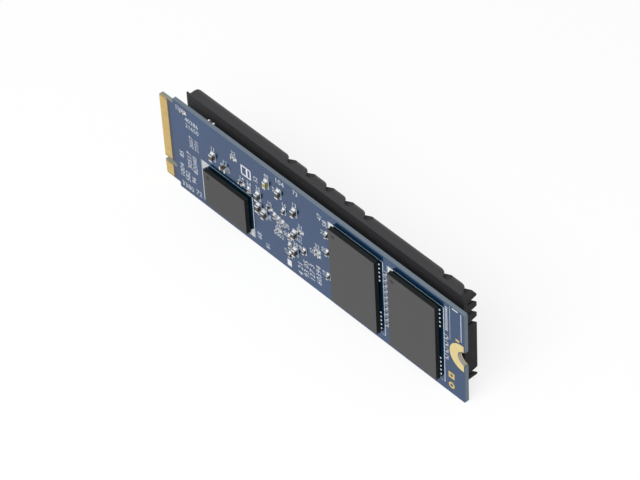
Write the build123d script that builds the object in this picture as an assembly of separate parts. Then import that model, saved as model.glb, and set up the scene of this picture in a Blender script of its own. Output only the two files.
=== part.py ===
from build123d import *
import os
from math import cos, radians, sin

# A gumstick solid state drive with a heatsink, standing on its long edge. Sizes are in millimetres.
# X runs along the board from the edge contacts to the screw notch, Y runs through the thickness from
# the chip side to the heatsink, and Z runs up across the width. The origin is under the middle.

# Zones along the board, from the contact end to the notch end
tongue_length = 4.0
parts_zone = 42.75          # from the tongue to the inner flash package
flash_length = 12.0
flash_gap = 3.15            # between the two flash packages
notch_zone = 6.1            # from the outer flash package to the notch end
board_length = tongue_length + parts_zone + 2 * flash_length + flash_gap + notch_zone

# Circuit board
board_width = 22.0
board_thickness = 0.8
board_corner_radius = 0.5
tongue_width = 19.85
tongue_bevel_run = 0.25
tongue_bevel_depth = 0.12
tongue_corner = 0.4
key_width = 1.2
key_depth = 3.5
key_drop = 6.125            # from the centre line down to the middle of the key slot
screw_notch_radius = 1.75

# Gold and tin on the board
plating_thickness = 0.05
contact_pitch = 0.5
contact_width = 0.35
contact_length = 2.1
contact_edge_margin = 0.4   # from the side of the tongue to the first contact
land_radius = 3.15          # of the land round the screw notch
land_setback = 0.6          # from the notch end to the middle of the land
land_trim = 0.25            # from the notch end to the ends of the land
land_tab_length = 0.9
land_tab_width = 0.5
land_tab_gap = 0.2          # between the land and the tab above it
test_pad_size = 1.45
test_pad_hole_radius = 0.35
test_pad_setback = 3.4      # from the notch end
test_pad_drop = 6.4         # from the centre line down to the upper test pad
test_pad_pitch = 2.5
side_pad_radius = 0.2       # bare pads of a wider footprint, under the long edges of the flash packages
side_pad_pitch = 1.0
side_pad_start = 4.0        # from the centre line to the first pad, upwards and downwards
side_pads_in_row = 5

# Packages: a substrate and a mould cap that stand on a layer of underfill
standoff = 0.22
underfill_inset = 0.6
substrate_thickness = 0.26
cap_height = 0.64
cap_ledge = 0.08
cap_bevel = 0.05
flash_width = 18.0
memory_length = 11.5
memory_width = 8.6
memory_setback = 8.55       # from the tongue
memory_drop = 4.5           # from the centre line down to the middle of the memory chip
controller_length = 16.0
controller_width = 16.0
controller_shift = 0.8      # share of the spare length of the parts zone that lies before the controller

# Chip parts with tinned ends, in three sizes
large_chip_length = 1.6
large_chip_width = 0.8
large_chip_height = 0.75
large_chip_end = 0.32
small_chip_length = 1.0
small_chip_width = 0.5
small_chip_height = 0.5
small_chip_end = 0.22
flat_chip_height = 0.35     # a flat chip part is a low small one
end_skin = 0.02             # how far a tinned end stands proud of the body
solder_run = 0.18
solder_climb = 0.6          # share of the part's height that the solder climbs

# Power and clock parts on the heatsink side
power_manager_size = 5.0
power_manager_height = 0.85
inductor_size = 3.0
inductor_height = 1.2
inductor_end = 0.5
crystal_length = 3.2
crystal_width = 2.5
crystal_base_height = 0.3
crystal_lid_height = 0.4
crystal_lid_inset = 0.15

# Places over the memory chip: along from its middle, above its upper edge, and the turn in degrees
memory_large_capacitors = ((-3.7, 3.9, 90), (-0.5, 3.2, 0))
memory_small_capacitors = ((4.0, 2.6, 0),)
memory_resistors = ((2.2, 7.5, 0),)

# Places between the memory chip and the flash package: share of the way across, above the centre line
# of the board, and the turn
middle_large_capacitors = ((0.557, 5.0, 90),)
middle_small_capacitors = (
    (0.253, 1.3, 0), (0.43, 3.3, 90), (0.654, -3.2, 90), (0.478, -6.8, 90),
    (0.932, 5.4, 90), (0.932, 1.0, 90), (0.927, -5.0, 90),
)
middle_resistors = (
    (0.011, 2.0, 90), (0.315, 0.3, 90), (0.363, 0.1, 90), (0.412, -0.1, 90), (0.478, -2.4, 90),
    (0.478, -4.6, 90), (0.35, -2.6, 0), (0.615, 1.2, 0), (0.808, -0.5, 0), (0.808, -1.6, 0),
)
middle_ferrite_beads = (
    (0.121, 2.2, 90), (0.121, -0.6, 90), (0.187, -1.3, 90), (0.381, 6.9, 90), (0.548, -0.6, 90),
    (0.544, -5.0, 90),
)
middle_status_lights = ((0.236, 7.1, 90),)

# Places near the tongue: along the board from the tongue, above the centre line, and the turn
corner_resistor_setback = 2.8
corner_resistor_drop = 1.4  # from the upper edge of the board
edge_capacitor_setback = 9.15
edge_capacitor_drop = 1.0   # from the upper edge of the board
power_manager_place = (5.6, -3.2)
inductor_places = ((5.4, 4.8), (9.6, 4.8))
crystal_place = (12.0, -6.6)
supply_capacitor_places = ((2.6, 6.6, 90), (2.6, 3.4, 90), (12.6, 4.4, 90), (12.6, 1.2, 90), (10.2, -2.2, 90))
supply_bypass_places = ((11.8, -2.2, 90), (13.2, -2.2, 90), (4.2, -7.6, 0), (6.6, -7.6, 0))

# Two columns of bypass capacitors between the controller and the flash package
bypass_column_gap = 1.8
bypass_row_gap = 4.0
bypass_rows = 4

# Thermal pad and heatsink
sink_gap = 2.15             # from the board to the inner face of the heatsink
pad_width = 15.0
sink_thickness = 3.0
sink_contact_setback = 4.5
sink_notch_setback = 3.1
sink_edge_radius = 1.7      # of the long outer edges
sink_end_radius = 0.15      # of the outer edge at the notch end
sink_corner_cut = 0.85      # of the two corners at the notch end
sink_lip_length = 0.7
sink_lip_thickness = 0.3
sink_lip_bevel = 0.7
groove_angle = 27.0         # to the long edge, rising towards the notch end
groove_pitch = 4.98         # along the long edge
groove_setback = 48.55      # from the notch end back to the first groove, at the upper edge
groove_top_width = 1.3
groove_floor_width = 0.5
groove_depth = 2.15
groove_lip_radius = 0.4
groove_floor_radius = 0.2
groove_lift = 0.02          # how far above the heatsink's face the rounding of a groove's lip starts
groove_numbers = (0, 1, 2, 3, 4, 8, 9, 10, 11, 12, 17)  # two groups of five, and the first of a third

# Places that follow from the sizes
package_height = standoff + substrate_thickness + cap_height
drive_depth = package_height + board_thickness + sink_gap + sink_thickness
board_front = -drive_depth / 2 + package_height
board_back = board_front + board_thickness
board_middle = board_width / 2
contact_end = -board_length / 2
notch_end = board_length / 2
tongue_end = contact_end + tongue_length
flash_start = tongue_end + parts_zone
flash_places = (flash_start + flash_length / 2, flash_start + flash_gap + 1.5 * flash_length)
memory_x = tongue_end + memory_setback + memory_length / 2
memory_z = board_middle - memory_drop
memory_end = memory_x + memory_length / 2
memory_top = memory_z + memory_width / 2
controller_start = tongue_end + controller_shift * (parts_zone - controller_length)
controller_end = controller_start + controller_length
sink_inner = board_back + sink_gap
sink_outer = sink_inner + sink_thickness
sink_start = contact_end + sink_contact_setback
sink_end = notch_end - sink_notch_setback
large_chip = (large_chip_length, large_chip_width, large_chip_height, large_chip_end)
small_chip = (small_chip_length, small_chip_width, small_chip_height, small_chip_end)
flat_chip = (small_chip_length, small_chip_width, flat_chip_height, small_chip_end)

# Planes on the two faces of the board, with their own X along the board, Y up and Z pointing away from it
chip_side = Plane(origin=(0, board_front, 0), x_dir=(1, 0, 0), z_dir=(0, -1, 0))
sink_side = Plane(origin=(0, board_back, 0), x_dir=(-1, 0, 0), z_dir=(0, 1, 0))


def on_board(side, x, z, turn=0, lift=0):
    """Location on a face of the board at a place given in the drive's own X and Z."""
    across = x if side is chip_side else -x
    return side.location * Pos(across, z, lift) * Rot(0, 0, turn)


def plate(length, width, height):
    """Block that stands on the plane it is placed on."""
    return Box(length, width, height, align=(Align.CENTER, Align.CENTER, Align.MIN))


def prism(points, plane, amount, both=False):
    """Closed outline drawn on a plane and extruded."""
    return extrude(plane * make_face(Polyline(*points, close=True)), amount, both=both)


def group(solids):
    """Separate like pieces kept together."""
    return Compound(children=list(solids))


def circuit_board():
    """Board with its contact tongue, bevelled nose, key slot and half-round screw notch."""
    body = Pos(tongue_length / 2, 0) * Rectangle(board_length - tongue_length, board_width)
    body = fillet(body.vertices().group_by(Axis.X)[-1], board_corner_radius)
    tongue = Pos(contact_end + tongue_length / 2, 0) * Rectangle(tongue_length, tongue_width)
    tongue = chamfer(tongue.vertices().group_by(Axis.X)[0], tongue_corner)
    slot_run = key_depth - key_width / 2
    slot = Pos(contact_end + slot_run / 2, -key_drop) * Rectangle(slot_run, key_width)
    slot_end = Pos(contact_end + slot_run, -key_drop) * Circle(key_width / 2)
    notch = Pos(notch_end, 0) * Circle(screw_notch_radius)
    outline = body + tongue - slot - slot_end - notch
    face = Plane(origin=(0, board_front, board_middle), x_dir=(1, 0, 0), z_dir=(0, -1, 0))
    flat = extrude(face * outline, -board_thickness)
    nose = prism(
        (
            (contact_end, board_front + tongue_bevel_depth),
            (contact_end + tongue_bevel_run, board_front),
            (notch_end, board_front),
            (notch_end, board_back),
            (contact_end + tongue_bevel_run, board_back),
            (contact_end, board_back - tongue_bevel_depth),
        ),
        Plane.XY,
        board_width,
    )
    return flat & nose


def edge_contacts(side, offset):
    """Row of gold fingers on one face of the tongue, left out where the key slot is."""
    reach = tongue_width / 2 - contact_edge_margin - contact_width / 2
    steps = int((reach - offset) / contact_pitch)
    heights = [offset + contact_pitch * i for i in range(-steps - 1, steps + 1)]
    key_clear = key_width / 2 + contact_width
    x = contact_end + tongue_bevel_run + contact_length / 2
    fingers = []
    for height in heights:
        if abs(height) <= reach and abs(height + key_drop) > key_clear:
            finger = plate(contact_length, contact_width, plating_thickness)
            fingers.append(on_board(side, x, board_middle + height) * finger)
    return group(fingers)


def screw_land():
    """Crescent round the screw notch, on each face of the board, that stops short of the notch end."""
    disc = Pos(-land_setback, 0) * Circle(land_radius)
    beyond = Pos(land_radius - land_trim, 0) * Rectangle(2 * land_radius, 2 * land_radius)
    land = disc - Circle(screw_notch_radius) - beyond
    face = Plane(origin=(notch_end, board_front, board_middle), x_dir=(1, 0, 0), z_dir=(0, -1, 0))
    front = extrude(face * land, plating_thickness)
    back = extrude(face.offset(-board_thickness) * land, -plating_thickness)
    return group((front, back))


def test_pads():
    """A square and a round pad with open centres near the notch end, and a small tab above the screw land."""
    x = notch_end - test_pad_setback
    outlines = (Rectangle(test_pad_size, test_pad_size), Circle(test_pad_size / 2))
    pads = []
    for i, outline in enumerate(outlines):
        pad = extrude(outline - Circle(test_pad_hole_radius), plating_thickness)
        pads.append(on_board(chip_side, x, board_middle - test_pad_drop - test_pad_pitch * i) * pad)
    tab_rise = land_radius + land_tab_gap + land_tab_width / 2
    tab = plate(land_tab_length, land_tab_width, plating_thickness)
    pads.append(on_board(chip_side, notch_end - screw_notch_radius, board_middle + tab_rise) * tab)
    return group(pads)


def flash_side_pads():
    """Bare round pads under the long edges of each flash package, in an upper and a lower row."""
    pad = extrude(Circle(side_pad_radius), plating_thickness)
    rises = [side_pad_start + side_pad_pitch * i for i in range(side_pads_in_row)]
    edges = [x + way * flash_length / 2 for x in flash_places for way in (-1, 1)]
    heights = [board_middle + way * rise for way in (-1, 1) for rise in rises]
    return group(on_board(chip_side, x, z) * pad for x in edges for z in heights)


def package(length, width):
    """Ball-grid package: a thin substrate with a mould cap a little inside its edges."""
    substrate = Pos(0, 0, standoff) * plate(length, width, substrate_thickness)
    cap = plate(length - 2 * cap_ledge, width - 2 * cap_ledge, cap_height)
    cap = chamfer(cap.edges().group_by(Axis.Z)[-1], cap_bevel)
    return substrate + Pos(0, 0, standoff + substrate_thickness) * cap


def underfill(length, width):
    """Layer under a package, a little inside its edges, with the solder joints in it."""
    return plate(length - 2 * underfill_inset, width - 2 * underfill_inset, standoff)


def chip_part(size):
    """Body and two tinned ends of a chip part, with the solder that runs out from under each end."""
    length, width, height, end_length = size
    body = plate(length - 2 * end_length, width - 2 * end_skin, height - end_skin)
    inner = length / 2 - end_length
    outer = length / 2
    end = prism(
        (
            (inner, 0),
            (outer + solder_run, 0),
            (outer, solder_climb * height),
            (outer, height),
            (inner, height),
        ),
        Plane.XZ,
        width / 2,
        both=True,
    )
    return body, (end, Rot(0, 0, 180) * end)


def over_memory(places):
    """Locations of parts that lie over the memory chip."""
    return [on_board(chip_side, memory_x + along, memory_top + rise, turn) for along, rise, turn in places]


def in_middle(places):
    """Locations of parts that are spread between the memory chip and the inner flash package."""
    spread = flash_start - memory_end
    spots = [(memory_end + share * spread, board_middle + rise, turn) for share, rise, turn in places]
    return [on_board(chip_side, x, z, turn) for x, z, turn in spots]


def near_tongue(places):
    """Locations of parts on the heatsink side that lie near the tongue."""
    spots = [(tongue_end + along, board_middle + rise, turn) for along, rise, turn in places]
    return [on_board(sink_side, x, z, turn) for x, z, turn in spots]


def bypass_columns():
    """Locations of the capacitors between the controller and the inner flash package."""
    middle = (controller_end + flash_start) / 2
    rows = [board_middle + bypass_row_gap * (i - (bypass_rows - 1) / 2) for i in range(bypass_rows)]
    return [on_board(sink_side, middle + way * bypass_column_gap / 2, z, 90) for way in (-1, 1) for z in rows]


def chip_parts(size, spots):
    """Bodies and ends of all chip parts of one kind."""
    body, ends = chip_part(size)
    return group(spot * body for spot in spots), group(spot * end for spot in spots for end in ends)


def power_inductors():
    """Bodies and ends of the moulded power inductors."""
    body = plate(inductor_size - 2 * inductor_end, inductor_size, inductor_height)
    end = plate(inductor_end, inductor_size - 2 * end_skin, inductor_height - end_skin)
    reach = (inductor_size - inductor_end) / 2
    spots = near_tongue((along, rise, 0) for along, rise in inductor_places)
    bodies = group(spot * body for spot in spots)
    return bodies, group(spot * Pos(way * reach, 0, 0) * end for spot in spots for way in (-1, 1))


def power_manager():
    """Flat power chip with bevelled upper edges."""
    body = plate(power_manager_size, power_manager_size, power_manager_height)
    body = chamfer(body.edges().group_by(Axis.Z)[-1], cap_bevel)
    along, rise = power_manager_place
    return on_board(sink_side, tongue_end + along, board_middle + rise) * body


def crystal():
    """Ceramic base and metal lid of the clock crystal."""
    along, rise = crystal_place
    spot = on_board(sink_side, tongue_end + along, board_middle + rise)
    base = plate(crystal_length, crystal_width, crystal_base_height)
    lid_length = crystal_length - 2 * crystal_lid_inset
    lid_width = crystal_width - 2 * crystal_lid_inset
    lid = plate(lid_length, lid_width, crystal_lid_height)
    lid = chamfer(lid.edges().group_by(Axis.Z)[-1], cap_bevel)
    return spot * base, spot * Pos(0, 0, crystal_base_height) * lid


def thermal_pad():
    """Soft pad from the controller to the outer flash package, between the packages and the heatsink."""
    pad_end = flash_places[1] + flash_length / 2
    spot = on_board(sink_side, (controller_start + pad_end) / 2, board_middle, lift=package_height)
    return spot * plate(pad_end - controller_start, pad_width, sink_gap - package_height)


def groove_cutter(number):
    """Tapered groove with rounded lips and floor that runs right across the heatsink."""
    tilt = radians(groove_angle)
    top = groove_top_width / 2
    floor = groove_floor_width / 2
    flange = top + groove_lip_radius
    outline = make_face(
        Polyline(
            (-flange, -groove_depth),
            (flange, -groove_depth),
            (flange, -groove_lift),
            (top, -groove_lift),
            (floor, groove_depth),
            (-floor, groove_depth),
            (-top, -groove_lift),
            (-flange, -groove_lift),
            close=True,
        )
    )
    lips = [v for v in outline.vertices() if abs(abs(v.X) - top) < groove_lift]
    outline = fillet(lips, groove_lip_radius)
    floors = [v for v in outline.vertices() if abs(v.Y - groove_depth) < groove_lift]
    outline = fillet(floors, groove_floor_radius)
    crossing = Vector(notch_end - groove_setback + number * groove_pitch, sink_outer, board_width)
    run = Vector(cos(tilt), 0, sin(tilt))
    plane = Plane(origin=crossing, x_dir=(-sin(tilt), 0, cos(tilt)), z_dir=run)
    return extrude(plane * outline, board_length + board_width, both=True)


def heatsink():
    """Plate with rounded outer edges, a thin lip at the contact end, two cut corners and slanting grooves."""
    length = sink_end - sink_start
    section = Pos((sink_inner + sink_outer) / 2, board_middle) * Rectangle(sink_thickness, board_width)
    section = fillet(section.vertices().group_by(Axis.X)[-1], sink_edge_radius)
    step = sink_start + sink_lip_length
    profile = make_face(
        Polyline(
            (sink_start, sink_inner),
            (sink_end, sink_inner),
            (sink_end, sink_outer),
            (step + sink_lip_bevel, sink_outer),
            (step, sink_outer - sink_lip_bevel),
            (step, sink_inner + sink_lip_thickness),
            (sink_start, sink_inner + sink_lip_thickness),
            close=True,
        )
    )
    outer_corner = profile.vertices().group_by(Axis.X)[-1].sort_by(Axis.Y)[-1]
    profile = fillet(outer_corner, sink_end_radius)
    plan = Pos((sink_start + sink_end) / 2, board_middle) * Rectangle(length, board_width)
    plan = chamfer(plan.vertices().group_by(Axis.X)[-1], sink_corner_cut)
    along = extrude(Plane.YZ.offset(sink_start) * section, length)
    through = extrude(Plane.XZ * plan, drive_depth, both=True)
    blank = along & extrude(profile, board_width) & through
    return blank - [groove_cutter(number) for number in groove_numbers]


def packages():
    """Ball-grid packages by name, and the underfill under them."""
    pieces = {}
    fills = []
    flash = package(flash_length, flash_width)
    flash_fill = underfill(flash_length, flash_width)
    for side, side_name in ((chip_side, "front"), (sink_side, "back")):
        for x, place_name in zip(flash_places, ("inner", "outer")):
            spot = on_board(side, x, board_middle)
            pieces[f"flash_{side_name}_{place_name}"] = spot * flash
            fills.append(spot * flash_fill)
    memory_spot = on_board(chip_side, memory_x, memory_z)
    pieces["memory_chip"] = memory_spot * package(memory_length, memory_width)
    fills.append(memory_spot * underfill(memory_length, memory_width))
    controller_spot = on_board(sink_side, (controller_start + controller_end) / 2, board_middle)
    pieces["controller"] = controller_spot * package(controller_length, controller_width)
    fills.append(controller_spot * underfill(controller_length, controller_width))
    pieces["package_underfill"] = group(fills)
    return pieces


def all_chip_parts():
    """Bodies and ends of every kind of chip part by name."""
    corner = on_board(chip_side, tongue_end + corner_resistor_setback, board_width - corner_resistor_drop)
    edge = on_board(sink_side, tongue_end + edge_capacitor_setback, board_width - edge_capacitor_drop)
    large_spots = over_memory(memory_large_capacitors) + in_middle(middle_large_capacitors)
    small_spots = over_memory(memory_small_capacitors) + in_middle(middle_small_capacitors)
    resistor_spots = [corner] + over_memory(memory_resistors) + in_middle(middle_resistors)
    kinds = (
        ("large_capacitor", large_chip, large_spots),
        ("small_capacitor", small_chip, small_spots),
        ("chip_resistor", flat_chip, resistor_spots),
        ("ferrite_bead", large_chip, in_middle(middle_ferrite_beads)),
        ("status_light", large_chip, in_middle(middle_status_lights)),
        ("supply_capacitor", large_chip, [edge] + near_tongue(supply_capacitor_places)),
        ("bypass_capacitor", small_chip, near_tongue(supply_bypass_places) + bypass_columns()),
    )
    pieces = {}
    for name, size, spots in kinds:
        pieces[f"{name}_bodies"], pieces[f"{name}_ends"] = chip_parts(size, spots)
    return pieces


def build():
    """All pieces of the drive by name."""
    pieces = {
        "circuit_board": circuit_board(),
        "front_contacts": edge_contacts(chip_side, contact_pitch / 2),
        "back_contacts": edge_contacts(sink_side, 0),
        "screw_land": screw_land(),
        "test_pads": test_pads(),
        "flash_side_pads": flash_side_pads(),
        "power_manager": power_manager(),
        "thermal_pad": thermal_pad(),
        "heatsink": heatsink(),
    }
    pieces.update(packages())
    pieces["power_inductors"], pieces["power_inductor_ends"] = power_inductors()
    pieces["crystal_base"], pieces["crystal_lid"] = crystal()
    pieces.update(all_chip_parts())
    return pieces


os.makedirs("parts", exist_ok=True)
for name, piece in build().items():
    export_step(piece, f"parts/{name}.step")
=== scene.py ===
"""Looks of a gumstick solid state drive: finishes, printed marks, studio stage and camera."""

from math import radians

import bmesh
import bpy
from bpy.props import FloatProperty, FloatVectorProperty, PointerProperty
from bpy.types import Operator, Panel, PropertyGroup
from mathutils import Matrix, Vector


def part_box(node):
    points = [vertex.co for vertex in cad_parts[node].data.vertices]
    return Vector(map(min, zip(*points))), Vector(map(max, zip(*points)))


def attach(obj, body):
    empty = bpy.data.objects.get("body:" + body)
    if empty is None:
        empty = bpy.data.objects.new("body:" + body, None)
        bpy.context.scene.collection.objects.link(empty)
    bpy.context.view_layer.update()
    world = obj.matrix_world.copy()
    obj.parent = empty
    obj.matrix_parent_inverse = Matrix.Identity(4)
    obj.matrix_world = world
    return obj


bl_info = {
    "name": "Gumstick Drive",
    "version": (1, 0, 0),
    "blender": (4, 5, 0),
    "location": "View3D > Sidebar > Drive",
    "description": "Finishes and prints a gumstick solid state drive and sets it in a studio",
    "category": "Object",
}

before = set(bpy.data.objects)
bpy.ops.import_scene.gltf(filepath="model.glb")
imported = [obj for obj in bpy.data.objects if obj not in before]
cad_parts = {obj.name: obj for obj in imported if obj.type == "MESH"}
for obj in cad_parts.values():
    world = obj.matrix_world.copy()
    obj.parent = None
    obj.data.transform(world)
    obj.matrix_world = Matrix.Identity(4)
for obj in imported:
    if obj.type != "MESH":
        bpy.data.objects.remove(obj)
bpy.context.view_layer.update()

MM = 0.001
MICRON = 0.000001
BODY = "root"

BOARD_LOW, BOARD_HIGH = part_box("circuit_board")
BOARD_FRONT = BOARD_LOW[1]
BOARD_BACK = BOARD_HIGH[1]
CONTACT_END = BOARD_LOW[0]
NOTCH_END = BOARD_HIGH[0]
BOARD_MIDDLE = (BOARD_LOW[2] + BOARD_HIGH[2]) / 2
TONGUE_LENGTH = 4.0 * MM

FRONT_FLASH = ("flash_front_inner", "flash_front_outer")
BACK_FLASH = ("flash_back_inner", "flash_back_outer")
PACKAGE_NODES = (*FRONT_FLASH, *BACK_FLASH, "memory_chip", "controller")
OUTLINED_NODES = (*FRONT_FLASH, "memory_chip")
CAPACITOR_KINDS = ("large_capacitor", "small_capacitor", "supply_capacitor", "bypass_capacitor")
FRONT_KINDS = ("large_capacitor", "small_capacitor", "chip_resistor", "ferrite_bead", "status_light")
ALL_KINDS = (*CAPACITOR_KINDS, "chip_resistor", "ferrite_bead", "status_light")

# The print is laid out in millimetres: x counts from the contact end, and rise from the centre line.

# Gaps between a package and its outline: left, right, and along its two other sides.
FLASH_MARGINS = (1.0, 1.0, 0.25)
MEMORY_MARGINS = (1.55, 1.0, 0.8)
# Rows of loops: how many, their pitch, and the x and rise of the first.
LOOP_ROWS = ((10, 1.42, 59.75, 6.3), (4, 1.65, 74.95, 1.9))
LOOP_LENGTH, LOOP_HEIGHT, LOOP_CORNER = 0.95, 1.05, 0.3
# Slanting bar in a loop: its middle, counted from the loop's lower left corner, its size and its turn.
SLASH_X, SLASH_RISE = 0.6, 0.35
SLASH_LENGTH, SLASH_WIDTH, SLASH_TURN = 0.7, 0.12, radians(50)
# Ladder near the notch: how many rungs, their pitch, the x and rise of the first, and their size.
RUNG_COUNT, RUNG_PITCH = 12, 0.5
RUNG_X, RUNG_RISE = 75.55, 9.8
RUNG_LENGTH, RUNG_WIDTH = 0.6, 0.2
# Upright lines: x and rise of the middle, and height.
FINE_UPRIGHT = (76.4, 6.6, 8.2)
END_UPRIGHT = (79.15, 7.2, 6.8)
# Blocks: x and rise of the middle, length and width.
BLOCKS = ((77.7, 10.6, 1.4, 0.24), (24.0, 6.0, 0.45, 1.9), (34.4, -9.3, 1.1, 1.5))
# Frame with a heavy line: its lower left and upper right corner, each an x and a rise, and its line.
HEAVY_FRAME = ((22.4, 4.8), (25.1, 7.2))
HEAVY_LINE, HEAVY_CORNER = 0.3, 0.13
# Numbers: the text, its x, rise and size, and its turn in degrees.
NUMBERS = (
    ("40386", 9.0, 8.1, 1.5, 0), ("21650", 9.0, 6.6, 1.5, 0), ("2057", 8.5, 3.0, 1.5, 90),
    ("7731", 10.0, 3.0, 1.5, 90), ("85", 5.3, -1.9, 1.7, 90), ("30517", 7.5, -2.2, 1.75, 90),
    ("82040", 9.05, -2.4, 1.75, 90), ("1004", 5.1, -6.1, 1.75, 90), ("582", 6.6, -6.75, 1.75, 90),
    ("96", 8.3, -6.7, 1.7, 90), ("3380", 6.2, -9.6, 1.7, 0), ("72", 9.4, -9.3, 1.7, 0),
    ("52", 26.4, 6.0, 1.5, 90), ("104", 33.0, 9.8, 1.7, 0), ("73", 37.2, 10.0, 1.5, 0),
    ("68", 26.4, -8.1, 1.7, 90), ("81", 28.6, -9.2, 1.5, 90), ("4 21", 37.5, -8.55, 1.9, 90),
    ("93 05", 39.1, -7.5, 1.9, 90), ("127 3", 40.7, -7.3, 1.9, 90), ("60394", 42.5, -6.7, 1.9, 90),
    ("47", 43.5, 8.6, 1.6, 90), ("58", 44.85, 7.9, 1.6, 90), ("713", 37.9, -0.95, 1.4, 90),
    ("5062", 31.9, -4.0, 1.4, 0),
)
FIRST_PART_NUMBER = 11
# Shares of a number's size: half a digit's width and height, the way from a part, and the stroke's loss.
DIGIT_HALF_WIDTH, DIGIT_HALF_HEIGHT = 0.3, 0.42
NUMBER_REACH = 0.45
STROKE_LOSS = 0.008
# Least share of the lacquer that each ink hides.
LINE_COVER, SOLID_COVER, NUMBER_COVER = 0.3, 0.8, 0.6

# Refraction of the satin skin on the packages.
PACKAGE_GLOSS, MEMORY_GLOSS = 1.42, 1.34
# Places of the colour sockets in a Mix node.
MIX_LOW, MIX_HIGH, MIX_RESULT = 6, 7, 2
# Half the floor's side in metres, and the share of plain white in it where it is seen.
FLOOR_REACH, FLOOR_GLOW = 3.0, 0.8


class DriveFinish(PropertyGroup):
    """Colours of the drive's surfaces."""

    mask: FloatVectorProperty(
        name="Solder Mask", description="Colour of the lacquer on the board", subtype="COLOR",
        default=(0.004, 0.054, 0.129), min=0, max=1,
    )
    laminate: FloatVectorProperty(
        name="Laminate", description="Colour of the cut edges of the board", subtype="COLOR",
        default=(0.155, 0.192, 0.23), min=0, max=1,
    )
    bare: FloatVectorProperty(
        name="Bare Laminate", description="Colour of the tongue between the contacts", subtype="COLOR",
        default=(0.36, 0.26, 0.1), min=0, max=1,
    )
    ink: FloatVectorProperty(
        name="Ink", description="Colour of the printed marks", subtype="COLOR",
        default=(0.7, 0.72, 0.74), min=0, max=1,
    )
    gold: FloatVectorProperty(
        name="Gold", description="Colour of the plated contacts and the test pads", subtype="COLOR",
        default=(0.72, 0.53, 0.2), min=0, max=1,
    )
    land: FloatVectorProperty(
        name="Land", description="Colour of the plated land round the notch", subtype="COLOR",
        default=(0.8, 0.65, 0.31), min=0, max=1,
    )
    tin: FloatVectorProperty(
        name="Tin", description="Colour of the tinned ends and pads", subtype="COLOR",
        default=(0.84, 0.84, 0.82), min=0, max=1,
    )
    mould: FloatVectorProperty(
        name="Mould", description="Colour of the moulded packages", subtype="COLOR",
        default=(0.014, 0.014, 0.015), min=0, max=1,
    )
    sink: FloatVectorProperty(
        name="Heatsink", description="Colour of the coating on the heatsink", subtype="COLOR",
        default=(0.032, 0.032, 0.034), min=0, max=1,
    )


class DrivePrint(PropertyGroup):
    """Sizes of the printed marks."""

    ink_thickness: FloatProperty(
        name="Ink Thickness", description="Height of the ink over the board", subtype="DISTANCE",
        default=0.012 * MM, precision=6,
    )
    line_width: FloatProperty(
        name="Line Width", description="Width of the lines round the chip parts and at the notch end",
        subtype="DISTANCE", default=0.13 * MM, precision=5,
    )
    side_line: FloatProperty(
        name="Side Line", description="Width of the lines across the board beside the packages",
        subtype="DISTANCE", default=0.2 * MM, precision=5,
    )
    long_line: FloatProperty(
        name="Long Line", description="Width of the lines along the packages and beside the ladder",
        subtype="DISTANCE", default=0.06 * MM, precision=5,
    )
    loop_line: FloatProperty(
        name="Loop Line", description="Width of the lines of the small loops", subtype="DISTANCE",
        default=0.07 * MM, precision=5,
    )
    flash_corner: FloatProperty(
        name="Flash Corner", description="Side of the corner mark of a flash package", subtype="DISTANCE",
        default=1.7 * MM, precision=5,
    )
    memory_corner: FloatProperty(
        name="Memory Corner", description="Side of the corner marks of the memory chip",
        subtype="DISTANCE", default=2.4 * MM, precision=5,
    )
    part_margin: FloatProperty(
        name="Part Margin", description="Gap between a chip part and the outline round it",
        subtype="DISTANCE", default=0.24 * MM, precision=5,
    )
    part_corner: FloatProperty(
        name="Part Corner", description="Radius of the corners of the outlines round the chip parts",
        subtype="DISTANCE", default=0.3 * MM, precision=5,
    )
    part_number_size: FloatProperty(
        name="Part Number Size", description="Size of the numbers beside the chip parts",
        subtype="DISTANCE", default=1.35 * MM, precision=5,
    )


class DriveStage(PropertyGroup):
    """Camera, floor and light."""

    lens: FloatProperty(
        name="Lens", description="Focal length in millimetres", unit="CAMERA", default=185.8,
    )
    place: FloatVectorProperty(
        name="Camera Place", description="Where the camera stands", subtype="XYZ", unit="LENGTH",
        default=(0.31914, -0.26453, 0.42571),
    )
    aim: FloatVectorProperty(
        name="Aim", description="Point in the middle of the picture", subtype="XYZ", unit="LENGTH",
        default=(0.0004, 0.0, 0.01009),
    )
    roll: FloatProperty(
        name="Roll", description="Tilt of the picture", subtype="ANGLE", default=radians(-3.51),
    )
    floor: FloatVectorProperty(
        name="Floor", description="Colour of the floor", subtype="COLOR",
        default=(0.94, 0.94, 0.94), min=0, max=1,
    )
    sky: FloatProperty(
        name="Sky", description="Strength of the light from all round", subtype="FACTOR",
        default=0.45, min=0, max=1,
    )
    lamp: FloatProperty(
        name="Lamp", description="Power of the soft lamp in watts", unit="POWER", default=4.8,
    )
    lamp_place: FloatVectorProperty(
        name="Lamp Place", description="Where the soft lamp hangs", subtype="XYZ", unit="LENGTH",
        default=(0.12, -0.45, 0.55),
    )
    lamp_size: FloatProperty(
        name="Lamp Size", description="Side of the soft lamp", subtype="DISTANCE", default=0.5,
    )


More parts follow.
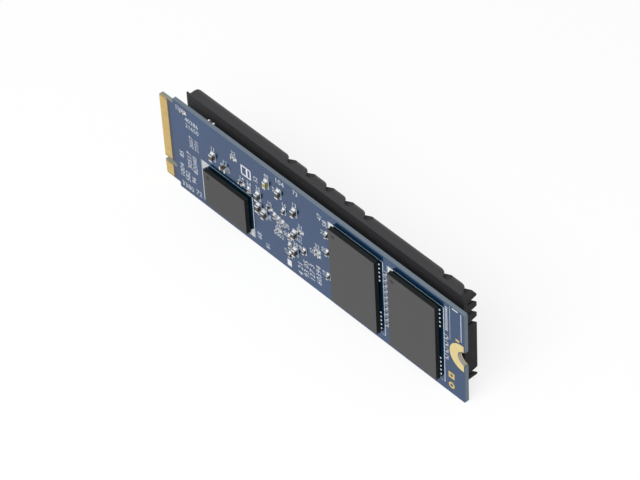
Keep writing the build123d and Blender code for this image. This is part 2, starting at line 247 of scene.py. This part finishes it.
class Term:
    """Socket that takes part in Python expressions; each operator adds one Math node."""

    def __init__(self, paint, socket):
        self.paint = paint
        self.socket = socket

    def math(self, operation, *terms):
        return self.paint.node("ShaderNodeMath", {"operation": operation}, dict(enumerate(terms)))

    def __add__(self, other):
        return self.math("ADD", self, other)

    def __radd__(self, other):
        return self.math("ADD", other, self)

    def __sub__(self, other):
        return self.math("SUBTRACT", self, other)

    def __rsub__(self, other):
        return self.math("SUBTRACT", other, self)

    def __mul__(self, other):
        return self.math("MULTIPLY", self, other)

    def __rmul__(self, other):
        return self.math("MULTIPLY", other, self)

    def __truediv__(self, other):
        return self.math("DIVIDE", self, other)

    def __pow__(self, other):
        return self.math("POWER", self, other)

    def __lt__(self, other):
        return self.math("LESS_THAN", self, other)

    def __gt__(self, other):
        return self.math("GREATER_THAN", self, other)

    def __abs__(self):
        return self.math("ABSOLUTE", self)

    def __mod__(self, other):
        return self.math("FLOORED_MODULO", self, other)


class Paint:
    """Node tree of a material or a world, and the nodes that are added to it."""

    def __init__(self, owner):
        owner.use_nodes = True
        self.owner = owner
        self.tree = owner.node_tree

    def node(self, kind, settings=None, sockets=None, out=0):
        """Adds a node, sets it up, feeds its sockets and returns one of its outputs."""
        made = self.tree.nodes.new(kind)
        for key, value in (settings or {}).items():
            setattr(made, key, value)
        for key, value in (sockets or {}).items():
            if isinstance(value, Term):
                self.tree.links.new(value.socket, made.inputs[key])
            else:
                made.inputs[key].default_value = value
        return Term(self, made.outputs[out])

    def split(self, vector):
        """The three parts of a vector."""
        made = self.node("ShaderNodeSeparateXYZ", sockets={0: vector}).socket.node
        return [Term(self, socket) for socket in made.outputs]

    def place(self):
        """Place on the drive in millimetres."""
        here = self.node("ShaderNodeTexCoord", out="Object")
        return self.node("ShaderNodeVectorMath", {"operation": "SCALE"}, {0: here, "Scale": 1 / MM})

    def stretched(self, vector, factors):
        """A vector with each of its parts multiplied by a factor."""
        return self.node("ShaderNodeVectorMath", {"operation": "MULTIPLY"}, {0: vector, 1: factors})

    def noise(self, vector, scale, detail=3.0, rough=0.55):
        """Soft noise from 0 to 1."""
        sockets = {"Vector": vector, "Scale": scale, "Detail": detail, "Roughness": rough}
        return self.node("ShaderNodeTexNoise", {}, sockets)

    def mix(self, mask, low, high):
        """Colour that goes from low to high with the mask."""
        sides = {MIX_LOW: colour(low), MIX_HIGH: colour(high)}
        return self.node("ShaderNodeMix", {"data_type": "RGBA"}, {0: mask, **sides}, out=MIX_RESULT)

    def outward(self):
        """The three parts of the direction that the surface faces in."""
        return self.split(self.node("ShaderNodeNewGeometry", out="Normal"))

    def facing(self):
        """How squarely the surface faces along the drive's thickness, from 0 to 1."""
        return abs(self.outward()[1])

    def bump(self, height, depth, strength):
        """Normal of a surface whose height varies; the depth is in metres."""
        sockets = {"Height": height, "Distance": depth, "Strength": strength}
        return self.node("ShaderNodeBump", {}, sockets, "Normal")

    def finish(self, **sockets):
        """Feeds the shader and returns its material; a socket's name has an underscore for each space."""
        shader = self.tree.nodes["Principled BSDF"]
        for key, value in sockets.items():
            socket = shader.inputs[key.replace("_", " ")]
            if isinstance(value, Term):
                self.tree.links.new(value.socket, socket)
            else:
                socket.default_value = colour(value) if hasattr(value, "__len__") else value
        return self.owner


def new_paint(name):
    """Paint for a new material."""
    return Paint(bpy.data.materials.new(name))


def colour(value):
    """Colour with its alpha, or a link left as it is."""
    return value if isinstance(value, Term) else (*tuple(value)[:3], 1.0)


def shade(value, factor):
    """Colour made darker or lighter."""
    return tuple(min(1.0, part * factor) for part in tuple(value)[:3])


def dress(material, *nodes):
    """Gives CAD nodes a finish."""
    for name in nodes:
        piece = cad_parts[name]
        for spot in piece.material_slots:
            spot.material = material


def copper_layer(paint, x, z):
    """Copper under the lacquer, from 0 to 1: areas with tracks along or across, full areas, and vias."""
    track_pitch, track_half = 0.62, 0.17
    along_share, across_share = 0.42, 0.7
    via_hole, via_rim = 0.045, 0.11
    flat = paint.node("ShaderNodeCombineXYZ", {}, {"X": x, "Y": z})
    areas = paint.node(
        "ShaderNodeTexVoronoi",
        {"distance": "CHEBYCHEV", "voronoi_dimensions": "2D"},
        {"Vector": flat, "Scale": 0.19, "Randomness": 0.75},
        out="Color",
    )
    pick = paint.split(areas)[0]
    along = abs((z / track_pitch) % 1.0 - 0.5) < track_half
    across = abs((x / track_pitch) % 1.0 - 0.5) < track_half
    tracks = (pick < along_share) * along
    tracks = tracks + (pick > along_share) * (pick < across_share) * across + (pick > across_share)
    via_cells = {"Vector": flat, "Scale": 0.5, "Randomness": 0.9}
    reach = paint.node("ShaderNodeTexVoronoi", {"voronoi_dimensions": "2D"}, via_cells, out="Distance")
    vias = (reach < via_rim) * (reach > via_hole)
    return tracks * 0.7 + vias * 0.3


def board_finish(look):
    """Clear gloss over blue lacquer on copper, with a bare tongue, cut edges and a plated notch wall."""
    bare_length, rim_length = 2.25, 3.1
    notch_wall = 1.78
    tongue_edge = (0.28, 0.29, 0.22)
    rim_shade = (0.006, 0.014, 0.026)
    wall_plating = (0.32, 0.31, 0.28)
    paint = new_paint("board_mask")
    place = paint.place()
    x, _, z = paint.split(place)
    face = paint.facing() > 0.7
    copper = copper_layer(paint, x, z)
    grain = paint.noise(place, 0.35)
    lacquer = paint.mix(copper, shade(look.mask, 0.92), shade(look.mask, 1.25))
    lacquer = paint.mix(grain * 0.25, lacquer, shade(look.mask, 0.7))
    weave = paint.noise(paint.stretched(place, (0.8, 9.0, 0.8)), 1.3, 4.0, 0.7)
    edge = paint.mix(weave, shade(look.laminate, 0.75), shade(look.laminate, 1.2))
    start = CONTACT_END / MM
    edge = paint.mix((x < start + TONGUE_LENGTH / MM) * 0.75, edge, tongue_edge)
    tongue = face * (x < start + bare_length)
    rim = face * (x < start + rim_length)
    reach = ((x - NOTCH_END / MM) ** 2.0 + (z - BOARD_MIDDLE / MM) ** 2.0) ** 0.5
    plated = (1.0 - face) * (reach < notch_wall)
    skin = paint.mix(face, edge, lacquer)
    skin = paint.mix(rim * 0.7, skin, rim_shade)
    skin = paint.mix(tongue, skin, look.bare)
    skin = paint.mix(plated, skin, wall_plating)
    lacquered = face * (1.0 - tongue)
    rough = 0.5 - lacquered * 0.18 - plated * 0.2 + paint.noise(place, 2.2) * 0.05
    shine = lacquered * (0.82 + copper * 0.14) + plated
    relief = copper * 0.8 + paint.noise(place, 5.0) * 0.15
    normal = paint.bump(relief * face + weave * (1.0 - face), 10 * MICRON, 0.35)
    return paint.finish(
        Base_Color=skin, Roughness=rough, Metallic=shine, Normal=normal, Specular_IOR_Level=0.1,
        Specular_Tint=(0.25, 0.4, 0.7), Coat_Weight=lacquered, Coat_Roughness=0.1, Coat_IOR=1.4,
    )


def gold_finish(name, tone):
    """Gold plating with a soft sheen and fine wiping marks along the board."""
    paint = new_paint(name)
    place = paint.place()
    wipe = paint.noise(paint.stretched(place, (0.6, 1.0, 14.0)), 1.4, 4.0, 0.65)
    cloud = paint.noise(place, 0.8, 2.0)
    skin = paint.mix(cloud, shade(tone, 0.88), shade(tone, 1.1))
    rough = 0.2 + wipe * 0.18
    normal = paint.bump(wipe, 4 * MICRON, 0.25)
    return paint.finish(Base_Color=skin, Roughness=rough, Metallic=1.0, Normal=normal)


def tin_finish(look):
    """Solder that has flowed and set, bright with a slight grain."""
    paint = new_paint("tin_plate")
    grain = paint.noise(paint.place(), 7.0, 4.0, 0.6)
    skin = paint.mix(grain, shade(look.tin, 0.8), shade(look.tin, 1.15))
    normal = paint.bump(grain, 20 * MICRON, 0.3)
    return paint.finish(Base_Color=skin, Roughness=0.18 + grain * 0.22, Metallic=1.0, Normal=normal)


def bare_pad_finish(look):
    """Pale tinned pads without a part, dull from the oven."""
    paint = new_paint("bare_pad")
    grain = paint.noise(paint.place(), 5.0, 3.0, 0.6)
    skin = paint.mix(grain, shade(look.tin, 0.95), shade(look.tin, 1.25))
    return paint.finish(Base_Color=skin, Roughness=0.55 + grain * 0.15, Metallic=0.15)


def first_pin_dot(paint, place, node):
    """1 in the dot that marks the first pin of a package."""
    low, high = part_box(node)
    dot_radius = 0.42
    inset = 1.3
    centre = (low[0] / MM + inset, 0.0, high[2] / MM - inset)
    flat = paint.stretched(place, (1.0, 0.0, 1.0))
    ends = {0: flat, 1: centre}
    reach = paint.node("ShaderNodeVectorMath", {"operation": "DISTANCE"}, ends, out="Value")
    height = paint.split(place)[1]
    side = height < BOARD_FRONT / MM if low[1] < BOARD_FRONT else height > BOARD_BACK / MM
    return (reach < dot_radius) * side


def mould_finish(name, look, gloss):
    """Mould compound, satin on top, and matte on the sides where it was sawn with its dark substrate."""
    substrate_height = 0.48
    substrate = (0.012, 0.02, 0.016)
    paint = new_paint(name)
    place = paint.place()
    y = paint.split(place)[1]
    middle = (BOARD_FRONT + BOARD_BACK) / 2 / MM
    substrate_top = (BOARD_BACK - BOARD_FRONT) / 2 / MM + substrate_height
    sawn = abs(y - middle) < substrate_top
    grain = paint.noise(place, 16.0, 3.0, 0.7)
    cloud = paint.noise(place, 0.25, 2.0)
    body = paint.mix(grain, shade(look.mould, 0.7), shade(look.mould, 1.5))
    body = paint.mix(cloud * 0.4, body, shade(look.mould, 1.8))
    dots = sum(first_pin_dot(paint, place, node) for node in PACKAGE_NODES)
    skin = paint.mix(sawn, body, substrate)
    skin = paint.mix(dots, skin, shade(look.mould, 0.5))
    rough = 0.6 + grain * 0.12 + cloud * 0.06
    normal = paint.bump(grain, 12 * MICRON, 0.4)
    satin = (paint.facing() > 0.5) * (1.0 - dots * 0.4)
    return paint.finish(
        Base_Color=skin, Roughness=rough, Normal=normal, Specular_IOR_Level=0.05,
        Coat_Weight=satin, Coat_Roughness=0.34, Coat_IOR=gloss,
    )


def underfill_finish():
    """Dark resin that has crept out and set."""
    paint = new_paint("underfill_resin")
    cloud = paint.noise(paint.place(), 1.5)
    skin = paint.mix(cloud, (0.01, 0.01, 0.011), (0.022, 0.021, 0.02))
    normal = paint.bump(cloud, 50 * MICRON, 0.3)
    return paint.finish(Base_Color=skin, Roughness=0.25 + cloud * 0.15, Normal=normal)


def speckled_finish(name, low, high, rough, scale=6.0):
    """Fired ceramic with a fine speckle."""
    paint = new_paint(name)
    speck = paint.noise(paint.place(), scale, 4.0, 0.7)
    skin = paint.mix(speck, low, high)
    normal = paint.bump(speck, 15 * MICRON, 0.3)
    return paint.finish(Base_Color=skin, Roughness=rough + speck * 0.12, Normal=normal)


def resistor_finish():
    """Black glaze on top of a white ceramic chip."""
    paint = new_paint("resistor_glaze")
    top = paint.facing() > 0.7
    speck = paint.noise(paint.place(), 8.0)
    glaze = paint.mix(speck, (0.008, 0.008, 0.009), (0.02, 0.02, 0.021))
    chip = paint.mix(speck, (0.5, 0.48, 0.44), (0.66, 0.64, 0.6))
    skin = paint.mix(top, chip, glaze)
    return paint.finish(Base_Color=skin, Roughness=0.45 - top * 0.2 + speck * 0.05)


def pad_finish():
    """Soft silicone with ground filler in it."""
    paint = new_paint("thermal_silicone")
    speck = paint.noise(paint.place(), 4.0, 5.0, 0.75)
    skin = paint.mix(speck, (0.035, 0.036, 0.04), (0.1, 0.1, 0.105))
    normal = paint.bump(speck, 50 * MICRON, 0.5)
    return paint.finish(Base_Color=skin, Roughness=0.75 + speck * 0.15, Normal=normal)


def sink_finish(look):
    """Black coating on blasted aluminium, satin along the bar, matte on its ends and in its grooves."""
    paint = new_paint("black_aluminium")
    place = paint.place()
    satin = 1.0 - (abs(paint.outward()[0]) > 0.3)
    grain = paint.noise(place, 9.0, 3.0, 0.65)
    cloud = paint.noise(place, 0.12, 2.0)
    skin = paint.mix(grain * 0.6 + cloud * 0.4, shade(look.sink, 0.7), shade(look.sink, 1.5))
    rough = 0.6 + grain * 0.12 + cloud * 0.05
    normal = paint.bump(grain, 20 * MICRON, 0.35)
    return paint.finish(
        Base_Color=skin, Roughness=rough, Normal=normal, Specular_IOR_Level=0.05,
        Coat_Weight=satin, Coat_Roughness=0.45, Coat_IOR=1.24,
    )


def can_finish():
    """Drawn metal lid with a brushed grain."""
    paint = new_paint("crystal_can")
    grain = paint.noise(paint.stretched(paint.place(), (0.5, 1.0, 16.0)), 2.0, 4.0, 0.7)
    skin = paint.mix(grain, (0.5, 0.49, 0.46), (0.72, 0.71, 0.68))
    return paint.finish(Base_Color=skin, Roughness=0.25 + grain * 0.15, Metallic=1.0)


def ink_finish(name, look, cover):
    """White ink that lets the lacquer through where it is thin and worn."""
    paint = new_paint(name)
    cloud = paint.noise(paint.place(), 3.0, 3.0, 0.6)
    skin = paint.mix(cover + cloud * (1.0 - cover), look.mask, look.ink)
    return paint.finish(Base_Color=skin, Roughness=0.4 + cloud * 0.2)


def add_piece(name, shape, material):
    """Makes a printed mesh piece that rides on the drive."""
    bmesh.ops.recalc_face_normals(shape, faces=shape.faces)
    mesh = bpy.data.meshes.new(name)
    shape.to_mesh(mesh)
    shape.free()
    mesh.materials.append(material)
    piece = bpy.data.objects.new(name, mesh)
    bpy.context.scene.collection.objects.link(piece)
    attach(piece, BODY)


def board_point(x, rise):
    """X and Z of a place in the printed layout, in metres."""
    return CONTACT_END + x * MM, BOARD_MIDDLE + rise * MM


def add_bar(shape, ink, x, z, length, width, turn=0.0):
    """Flat printed bar on the chip side of the board, in metres."""
    turned = Matrix.Translation((x, BOARD_FRONT - ink / 2, z)) @ Matrix.Rotation(-turn, 4, "Y")
    sized = turned @ Matrix.Diagonal((length, ink, width, 1.0))
    bmesh.ops.create_cube(shape, size=1.0, matrix=sized)


def raise_ink(shape, faces, ink):
    """Gives flat printed faces the thickness of the ink."""
    grown = bmesh.ops.extrude_face_region(shape, geom=faces)
    tops = [item for item in grown["geom"] if isinstance(item, bmesh.types.BMVert)]
    bmesh.ops.translate(shape, verts=tops, vec=(0, -ink, 0))


def add_outline(shape, ink, low, high, width, corner):
    """Printed frame with rounded corners between two points, each an X and a Z in metres."""
    ring = bmesh.new()
    centre = Matrix.Translation(((low[0] + high[0]) / 2, BOARD_FRONT, (low[1] + high[1]) / 2))
    sized = Matrix.Diagonal((high[0] - low[0], high[1] - low[1], 1.0, 1.0))
    upright = centre @ Matrix.Rotation(radians(90), 4, "X") @ sized
    bmesh.ops.create_grid(ring, x_segments=1, y_segments=1, size=0.5, matrix=upright)
    bmesh.ops.bevel(
        ring, geom=ring.verts[:], offset=corner, offset_type="OFFSET", affect="VERTICES",
        segments=3, profile=0.5, material=-1,
    )
    inside = ring.faces[:]
    bmesh.ops.inset_region(ring, faces=inside, thickness=width, use_boundary=True, use_even_offset=True)
    bmesh.ops.delete(ring, geom=inside, context="FACES")
    raise_ink(ring, ring.faces[:], ink)
    mesh = bpy.data.meshes.new("outline")
    ring.to_mesh(mesh)
    ring.free()
    shape.from_mesh(mesh)
    bpy.data.meshes.remove(mesh)


def outline_corners(node):
    """Lower left and upper right corner of the outline printed round a package, each an X and a Z."""
    low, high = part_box(node)
    margins = FLASH_MARGINS if node in FRONT_FLASH else MEMORY_MARGINS
    left, right, along = (margin * MM for margin in margins)
    return (low[0] - left, low[2] - along), (high[0] + right, high[2] + along)


def add_triangle(shape, ink, corners):
    """Filled printed triangle; each corner is an X and a Z in metres."""
    points = [shape.verts.new((x, BOARD_FRONT, z)) for x, z in corners]
    raise_ink(shape, [shape.faces.new(points)], ink)


def add_upper_left(shape, ink, node, tip):
    """Printed triangle in the upper left corner of a package's outline."""
    (left, _), (_, top) = outline_corners(node)
    add_triangle(shape, ink, ((left, top), (left + tip, top), (left, top - tip)))


def solid_boxes(node):
    """Lowest and highest corner of each separate solid in a CAD node, from the contact end on."""
    shape = bmesh.new()
    shape.from_mesh(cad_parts[node].data)
    bmesh.ops.remove_doubles(shape, verts=shape.verts, dist=2 * MICRON)
    left = set(shape.verts)
    boxes = []
    while left:
        island = set()
        edge = [left.pop()]
        while edge:
            here = edge.pop()
            island.add(here)
            near = {link.other_vert(here) for link in here.link_edges} & left
            left -= near
            edge.extend(near)
        sides = list(zip(*(point.co for point in island)))
        boxes.append((Vector(map(min, sides)), Vector(map(max, sides))))
    shape.free()
    return sorted(boxes, key=lambda box: [round(value, 6) for value in box[0]])


def chip_part_boxes(kind):
    """Lowest and highest corner of each chip part of a kind: its body and the tinned end on either side."""
    ends = solid_boxes(f"{kind}_ends")
    boxes = []
    for low, high in solid_boxes(f"{kind}_bodies"):
        middle = (low + high) / 2
        near = sorted(ends, key=lambda box: ((box[0] + box[1]) / 2 - middle).length)[:2]
        lows = list(zip(low, *(box[0] for box in near)))
        highs = list(zip(high, *(box[1] for box in near)))
        boxes.append((Vector(map(min, lows)), Vector(map(max, highs))))
    return boxes


def part_frames(margin):
    """Rectangle round each chip part on the chip side: its lowest and highest X and Z."""
    return [
        (low[0] - margin, low[2] - margin, high[0] + margin, high[2] + margin)
        for kind in FRONT_KINDS for low, high in chip_part_boxes(kind)
    ]


def number_mesh(text, size, thickness):
    """Mesh of a printed number that lies in the XY plane, centred."""
    curve = bpy.data.curves.new("number", "FONT")
    curve.body = text
    curve.size = size
    curve.extrude = thickness / 2
    curve.align_x = "CENTER"
    curve.align_y = "CENTER"
    curve.resolution_u = 2
    curve.offset = -STROKE_LOSS * size
    stamp = bpy.data.objects.new("number", curve)
    mesh = bpy.data.meshes.new_from_object(stamp)
    bpy.data.objects.remove(stamp)
    bpy.data.curves.remove(curve)
    return mesh


def number_box(text, size, x, z, turn):
    """Rectangle that a printed number covers: its lowest and highest X and Z."""
    half_length = DIGIT_HALF_WIDTH * size * len(text)
    half_height = DIGIT_HALF_HEIGHT * size
    half_x, half_z = (half_height, half_length) if turn else (half_length, half_height)
    return x - half_x, z - half_z, x + half_x, z + half_z


def covers(one, other):
    """Whether two rectangles overlap."""
    return one[0] < other[2] and other[0] < one[2] and one[1] < other[3] and other[1] < one[3]


def free_place(part, text, size, taken):
    """Place and turn of a number beside a chip part, or None where each side is taken."""
    left, under, right, over = part
    middle_x = (left + right) / 2
    middle_z = (under + over) / 2
    reach = NUMBER_REACH * size
    places = (
        (middle_x, over + reach, 0), (left - reach, middle_z, 90), (right + reach, middle_z, 90),
        (middle_x, under - reach, 0),
    )
    for x, z, turn in places:
        box = number_box(text, size, x, z, turn)
        inside = box[0] > CONTACT_END + TONGUE_LENGTH and box[1] > BOARD_LOW[2] and box[3] < BOARD_HIGH[2]
        if inside and not any(covers(box, other) for other in taken):
            return x, z, turn
    return None


def seen_rays(paint):
    """1 for rays that show the background: from the camera, or by way of a reflection or glass."""
    paths = paint.node("ShaderNodeLightPath").socket.node.outputs
    camera, glossy, through = (
        Term(paint, paths[name]) for name in ("Is Camera Ray", "Is Glossy Ray", "Is Transmission Ray")
    )
    return camera.math("MAXIMUM", camera.math("MAXIMUM", camera, glossy), through)


def add_floor(stage):
    """Pale floor that shows the drive's soft shadow."""
    shape = bmesh.new()
    bmesh.ops.create_grid(shape, x_segments=1, y_segments=1, size=FLOOR_REACH)
    mesh = bpy.data.meshes.new("floor")
    shape.to_mesh(mesh)
    shape.free()
    floor = bpy.data.objects.new("floor", mesh)
    bpy.context.scene.collection.objects.link(floor)
    paint = new_paint("floor_paper")
    paint.finish(Base_Color=stage.floor, Roughness=0.9, Specular_IOR_Level=0.0)
    glow = paint.node("ShaderNodeEmission", {}, {"Color": (1, 1, 1, 1), "Strength": 1.0})
    surface = Term(paint, paint.tree.nodes["Principled BSDF"].outputs[0])
    layers = {0: seen_rays(paint) * FLOOR_GLOW, 1: surface, 2: glow}
    shown = paint.node("ShaderNodeMixShader", {}, layers)
    paint.tree.links.new(shown.socket, paint.tree.nodes["Material Output"].inputs["Surface"])
    mesh.materials.append(paint.owner)


def add_sky(scene, stage):
    """Even light from all round; white where it is seen, also in a reflection."""
    scene.world = bpy.data.worlds.new("studio")
    paint = Paint(scene.world)
    strength = stage.sky + seen_rays(paint) * (1.0 - stage.sky)
    background = paint.tree.nodes["Background"]
    background.inputs["Color"].default_value = (1, 1, 1, 1)
    paint.tree.links.new(strength.socket, background.inputs["Strength"])


def add_lamp(stage):
    """Wide soft lamp in front of the chip side and over it."""
    light = bpy.data.lights.new("soft_lamp", "AREA")
    light.energy = stage.lamp
    light.size = stage.lamp_size
    lamp = bpy.data.objects.new("soft_lamp", light)
    lamp.location = stage.lamp_place
    lamp.rotation_euler = (-lamp.location).to_track_quat("-Z", "Y").to_euler()
    bpy.context.scene.collection.objects.link(lamp)


def add_camera(scene, stage):
    """Camera at the photograph's viewing angle."""
    view = bpy.data.cameras.new("camera")
    view.lens = stage.lens
    camera = bpy.data.objects.new("camera", view)
    place = Vector(stage.place)
    facing = (Vector(stage.aim) - place).to_track_quat("-Z", "Y").to_matrix().to_4x4()
    camera.matrix_world = Matrix.Translation(place) @ facing @ Matrix.Rotation(stage.roll, 4, "Z")
    scene.collection.objects.link(camera)
    scene.camera = camera


class DRIVE_OT_board(Operator):
    """Finish the circuit board"""

    bl_idname = "drive.board"
    bl_label = "Finish Board"

    def execute(self, context):
        dress(board_finish(context.scene.drive_finish), "circuit_board")
        return {"FINISHED"}


class DRIVE_OT_plating(Operator):
    """Finish the gold contacts and lands and the tinned pads and ends"""

    bl_idname = "drive.plating"
    bl_label = "Finish Plating"

    def execute(self, context):
        look = context.scene.drive_finish
        dress(gold_finish("contact_gold", look.gold), "front_contacts", "back_contacts", "test_pads")
        dress(gold_finish("land_gold", look.land), "screw_land")
        ends = [f"{kind}_ends" for kind in ALL_KINDS]
        dress(tin_finish(look), "power_inductor_ends", *ends)
        dress(bare_pad_finish(look), "flash_side_pads")
        return {"FINISHED"}


class DRIVE_OT_packages(Operator):
    """Finish the moulded packages and the underfill under them"""

    bl_idname = "drive.packages"
    bl_label = "Finish Packages"

    def execute(self, context):
        look = context.scene.drive_finish
        mould = mould_finish("package_mould", look, PACKAGE_GLOSS)
        dress(mould, "power_manager", "controller", *FRONT_FLASH, *BACK_FLASH)
        dress(mould_finish("memory_mould", look, MEMORY_GLOSS), "memory_chip")
        dress(underfill_finish(), "package_underfill")
        return {"FINISHED"}


class DRIVE_OT_chip_parts(Operator):
    """Finish the small chip parts, the inductors and the crystal"""

    bl_idname = "drive.chip_parts"
    bl_label = "Finish Chip Parts"

    def execute(self, context):
        brown = speckled_finish("capacitor_ceramic", (0.022, 0.016, 0.011), (0.075, 0.052, 0.034), 0.3)
        dress(brown, *(f"{kind}_bodies" for kind in CAPACITOR_KINDS))
        dark = speckled_finish("ferrite", (0.018, 0.018, 0.014), (0.06, 0.058, 0.042), 0.4)
        dress(dark, "ferrite_bead_bodies", "power_inductors")
        lens = speckled_finish("light_lens", (0.2, 0.19, 0.05), (0.32, 0.31, 0.1), 0.25, 2.0)
        dress(lens, "status_light_bodies")
        dress(resistor_finish(), "chip_resistor_bodies")
        base = speckled_finish("crystal_base", (0.2, 0.17, 0.12), (0.3, 0.26, 0.2), 0.5)
        dress(base, "crystal_base")
        dress(can_finish(), "crystal_lid")
        return {"FINISHED"}


class DRIVE_OT_cooling(Operator):
    """Finish the thermal pad and the heatsink"""

    bl_idname = "drive.cooling"
    bl_label = "Finish Cooling"

    def execute(self, context):
        dress(pad_finish(), "thermal_pad")
        dress(sink_finish(context.scene.drive_finish), "heatsink")
        return {"FINISHED"}


class DRIVE_OT_outlines(Operator):
    """Print the outlines round the packages and chip parts, and the corners of the memory chip"""

    bl_idname = "drive.outlines"
    bl_label = "Print Outlines"

    def execute(self, context):
        sizes = context.scene.drive_print
        ink = sizes.ink_thickness
        shape = bmesh.new()
        for node in OUTLINED_NODES:
            low, high = outline_corners(node)
            middle = [(start + end) / 2 for start, end in zip(low, high)]
            length, height = high[0] - low[0], high[1] - low[1]
            for x in (low[0], high[0]):
                add_bar(shape, ink, x, middle[1], sizes.side_line, height)
            for z in (low[1], high[1]):
                add_bar(shape, ink, middle[0], z, length - sizes.side_line, sizes.long_line)
        tip = sizes.memory_corner
        add_upper_left(shape, ink, "memory_chip", tip)
        (_, under), (right, _) = outline_corners("memory_chip")
        add_triangle(shape, ink, ((right, under), (right, under + tip), (right - tip, under)))
        for left, under, right, over in part_frames(sizes.part_margin):
            add_outline(shape, ink, (left, under), (right, over), sizes.line_width, sizes.part_corner)
        add_piece("printed_outlines", shape, ink_finish("line_ink", context.scene.drive_finish, LINE_COVER))
        return {"FINISHED"}


class DRIVE_OT_marks(Operator):
    """Print the solid marks: flash corners, rows of loops, the ladder, lines, blocks and a frame"""

    bl_idname = "drive.marks"
    bl_label = "Print Marks"

    def execute(self, context):
        sizes = context.scene.drive_print
        ink = sizes.ink_thickness
        shape = bmesh.new()
        for node in FRONT_FLASH:
            add_upper_left(shape, ink, node, sizes.flash_corner)
        for count, pitch, start, rise in LOOP_ROWS:
            for i in range(count):
                x, z = board_point(start, rise - pitch * i)
                end = (x + LOOP_LENGTH * MM, z + LOOP_HEIGHT * MM)
                add_outline(shape, ink, (x, z), end, sizes.loop_line, LOOP_CORNER * MM)
                middle = (x + SLASH_X * MM, z + SLASH_RISE * MM)
                add_bar(shape, ink, *middle, SLASH_LENGTH * MM, SLASH_WIDTH * MM, SLASH_TURN)
        for i in range(RUNG_COUNT):
            middle = board_point(RUNG_X, RUNG_RISE - RUNG_PITCH * i)
            add_bar(shape, ink, *middle, RUNG_LENGTH * MM, RUNG_WIDTH * MM)
        for (x, rise, height), width in ((FINE_UPRIGHT, sizes.long_line), (END_UPRIGHT, sizes.line_width)):
            add_bar(shape, ink, *board_point(x, rise), width, height * MM)
        for x, rise, length, width in BLOCKS:
            add_bar(shape, ink, *board_point(x, rise), length * MM, width * MM)
        low, high = (board_point(x, rise) for x, rise in HEAVY_FRAME)
        add_outline(shape, ink, low, high, HEAVY_LINE * MM, HEAVY_CORNER * MM)
        add_piece("printed_marks", shape, ink_finish("solid_ink", context.scene.drive_finish, SOLID_COVER))
        return {"FINISHED"}


class DRIVE_OT_numbers(Operator):
    """Print the plain numbers of the layout, and one beside each chip part that has room for it"""

    bl_idname = "drive.numbers"
    bl_label = "Print Numbers"

    def execute(self, context):
        sizes = context.scene.drive_print
        ink = sizes.ink_thickness
        numbers = [(text, *board_point(x, rise), size * MM, turn) for text, x, rise, size, turn in NUMBERS]
        taken = [number_box(text, size, x, z, turn) for text, x, z, size, turn in numbers]
        taken += [(*low, *high) for low, high in map(outline_corners, OUTLINED_NODES)]
        parts = part_frames(sizes.part_margin)
        for count, part in enumerate(parts):
            text = str(FIRST_PART_NUMBER + count)
            size = sizes.part_number_size
            place = free_place(part, text, size, taken + parts)
            if place:
                x, z, turn = place
                numbers.append((text, x, z, size, turn))
                taken.append(number_box(text, size, x, z, turn))
        shape = bmesh.new()
        for text, x, z, size, turn in numbers:
            mesh = number_mesh(text, size, ink)
            place = Matrix.Translation((x, BOARD_FRONT - ink / 2, z))
            upright = Matrix.Rotation(radians(90), 4, "X") @ Matrix.Rotation(radians(turn), 4, "Z")
            mesh.transform(place @ upright)
            shape.from_mesh(mesh)
            bpy.data.meshes.remove(mesh)
        bmesh.ops.remove_doubles(shape, verts=shape.verts, dist=0.5 * MICRON)
        material = ink_finish("number_ink", context.scene.drive_finish, NUMBER_COVER)
        add_piece("printed_numbers", shape, material)
        return {"FINISHED"}


class DRIVE_OT_stage(Operator):
    """Set up the floor, the light and the camera"""

    bl_idname = "drive.stage"
    bl_label = "Set Stage"

    def execute(self, context):
        stage = context.scene.drive_stage
        add_floor(stage)
        add_sky(context.scene, stage)
        add_lamp(stage)
        add_camera(context.scene, stage)
        context.scene.view_settings.view_transform = "Standard"
        return {"FINISHED"}


class DRIVE_PT_sidebar(Panel):
    """Buttons and settings of the drive"""

    bl_label = "Gumstick Drive"
    bl_idname = "DRIVE_PT_sidebar"
    bl_space_type = "VIEW_3D"
    bl_region_type = "UI"
    bl_category = "Drive"

    def draw(self, context):
        for operator in OPERATORS:
            self.layout.operator(operator.bl_idname)
        for settings in (context.scene.drive_finish, context.scene.drive_print, context.scene.drive_stage):
            column = self.layout.column(align=True)
            for name in settings.__annotations__:
                column.prop(settings, name)


GROUPS = {"drive_finish": DriveFinish, "drive_print": DrivePrint, "drive_stage": DriveStage}
OPERATORS = (
    DRIVE_OT_board, DRIVE_OT_plating, DRIVE_OT_packages, DRIVE_OT_chip_parts, DRIVE_OT_cooling,
    DRIVE_OT_outlines, DRIVE_OT_marks, DRIVE_OT_numbers, DRIVE_OT_stage,
)
CLASSES = (*GROUPS.values(), *OPERATORS, DRIVE_PT_sidebar)


def register():
    """Registers the classes and gives the scene its settings."""
    for item in CLASSES:
        bpy.utils.register_class(item)
    for name, group in GROUPS.items():
        setattr(bpy.types.Scene, name, PointerProperty(type=group))


def unregister():
    """Takes the settings and the classes away again."""
    for name in GROUPS:
        delattr(bpy.types.Scene, name)
    for item in reversed(CLASSES):
        bpy.utils.unregister_class(item)


def main():
    """Registers the classes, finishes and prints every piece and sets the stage."""
    register()
    bpy.ops.drive.board()
    bpy.ops.drive.plating()
    bpy.ops.drive.packages()
    bpy.ops.drive.chip_parts()
    bpy.ops.drive.cooling()
    bpy.ops.drive.outlines()
    bpy.ops.drive.marks()
    bpy.ops.drive.numbers()
    bpy.ops.drive.stage()


if __name__ == "__main__":
    main()
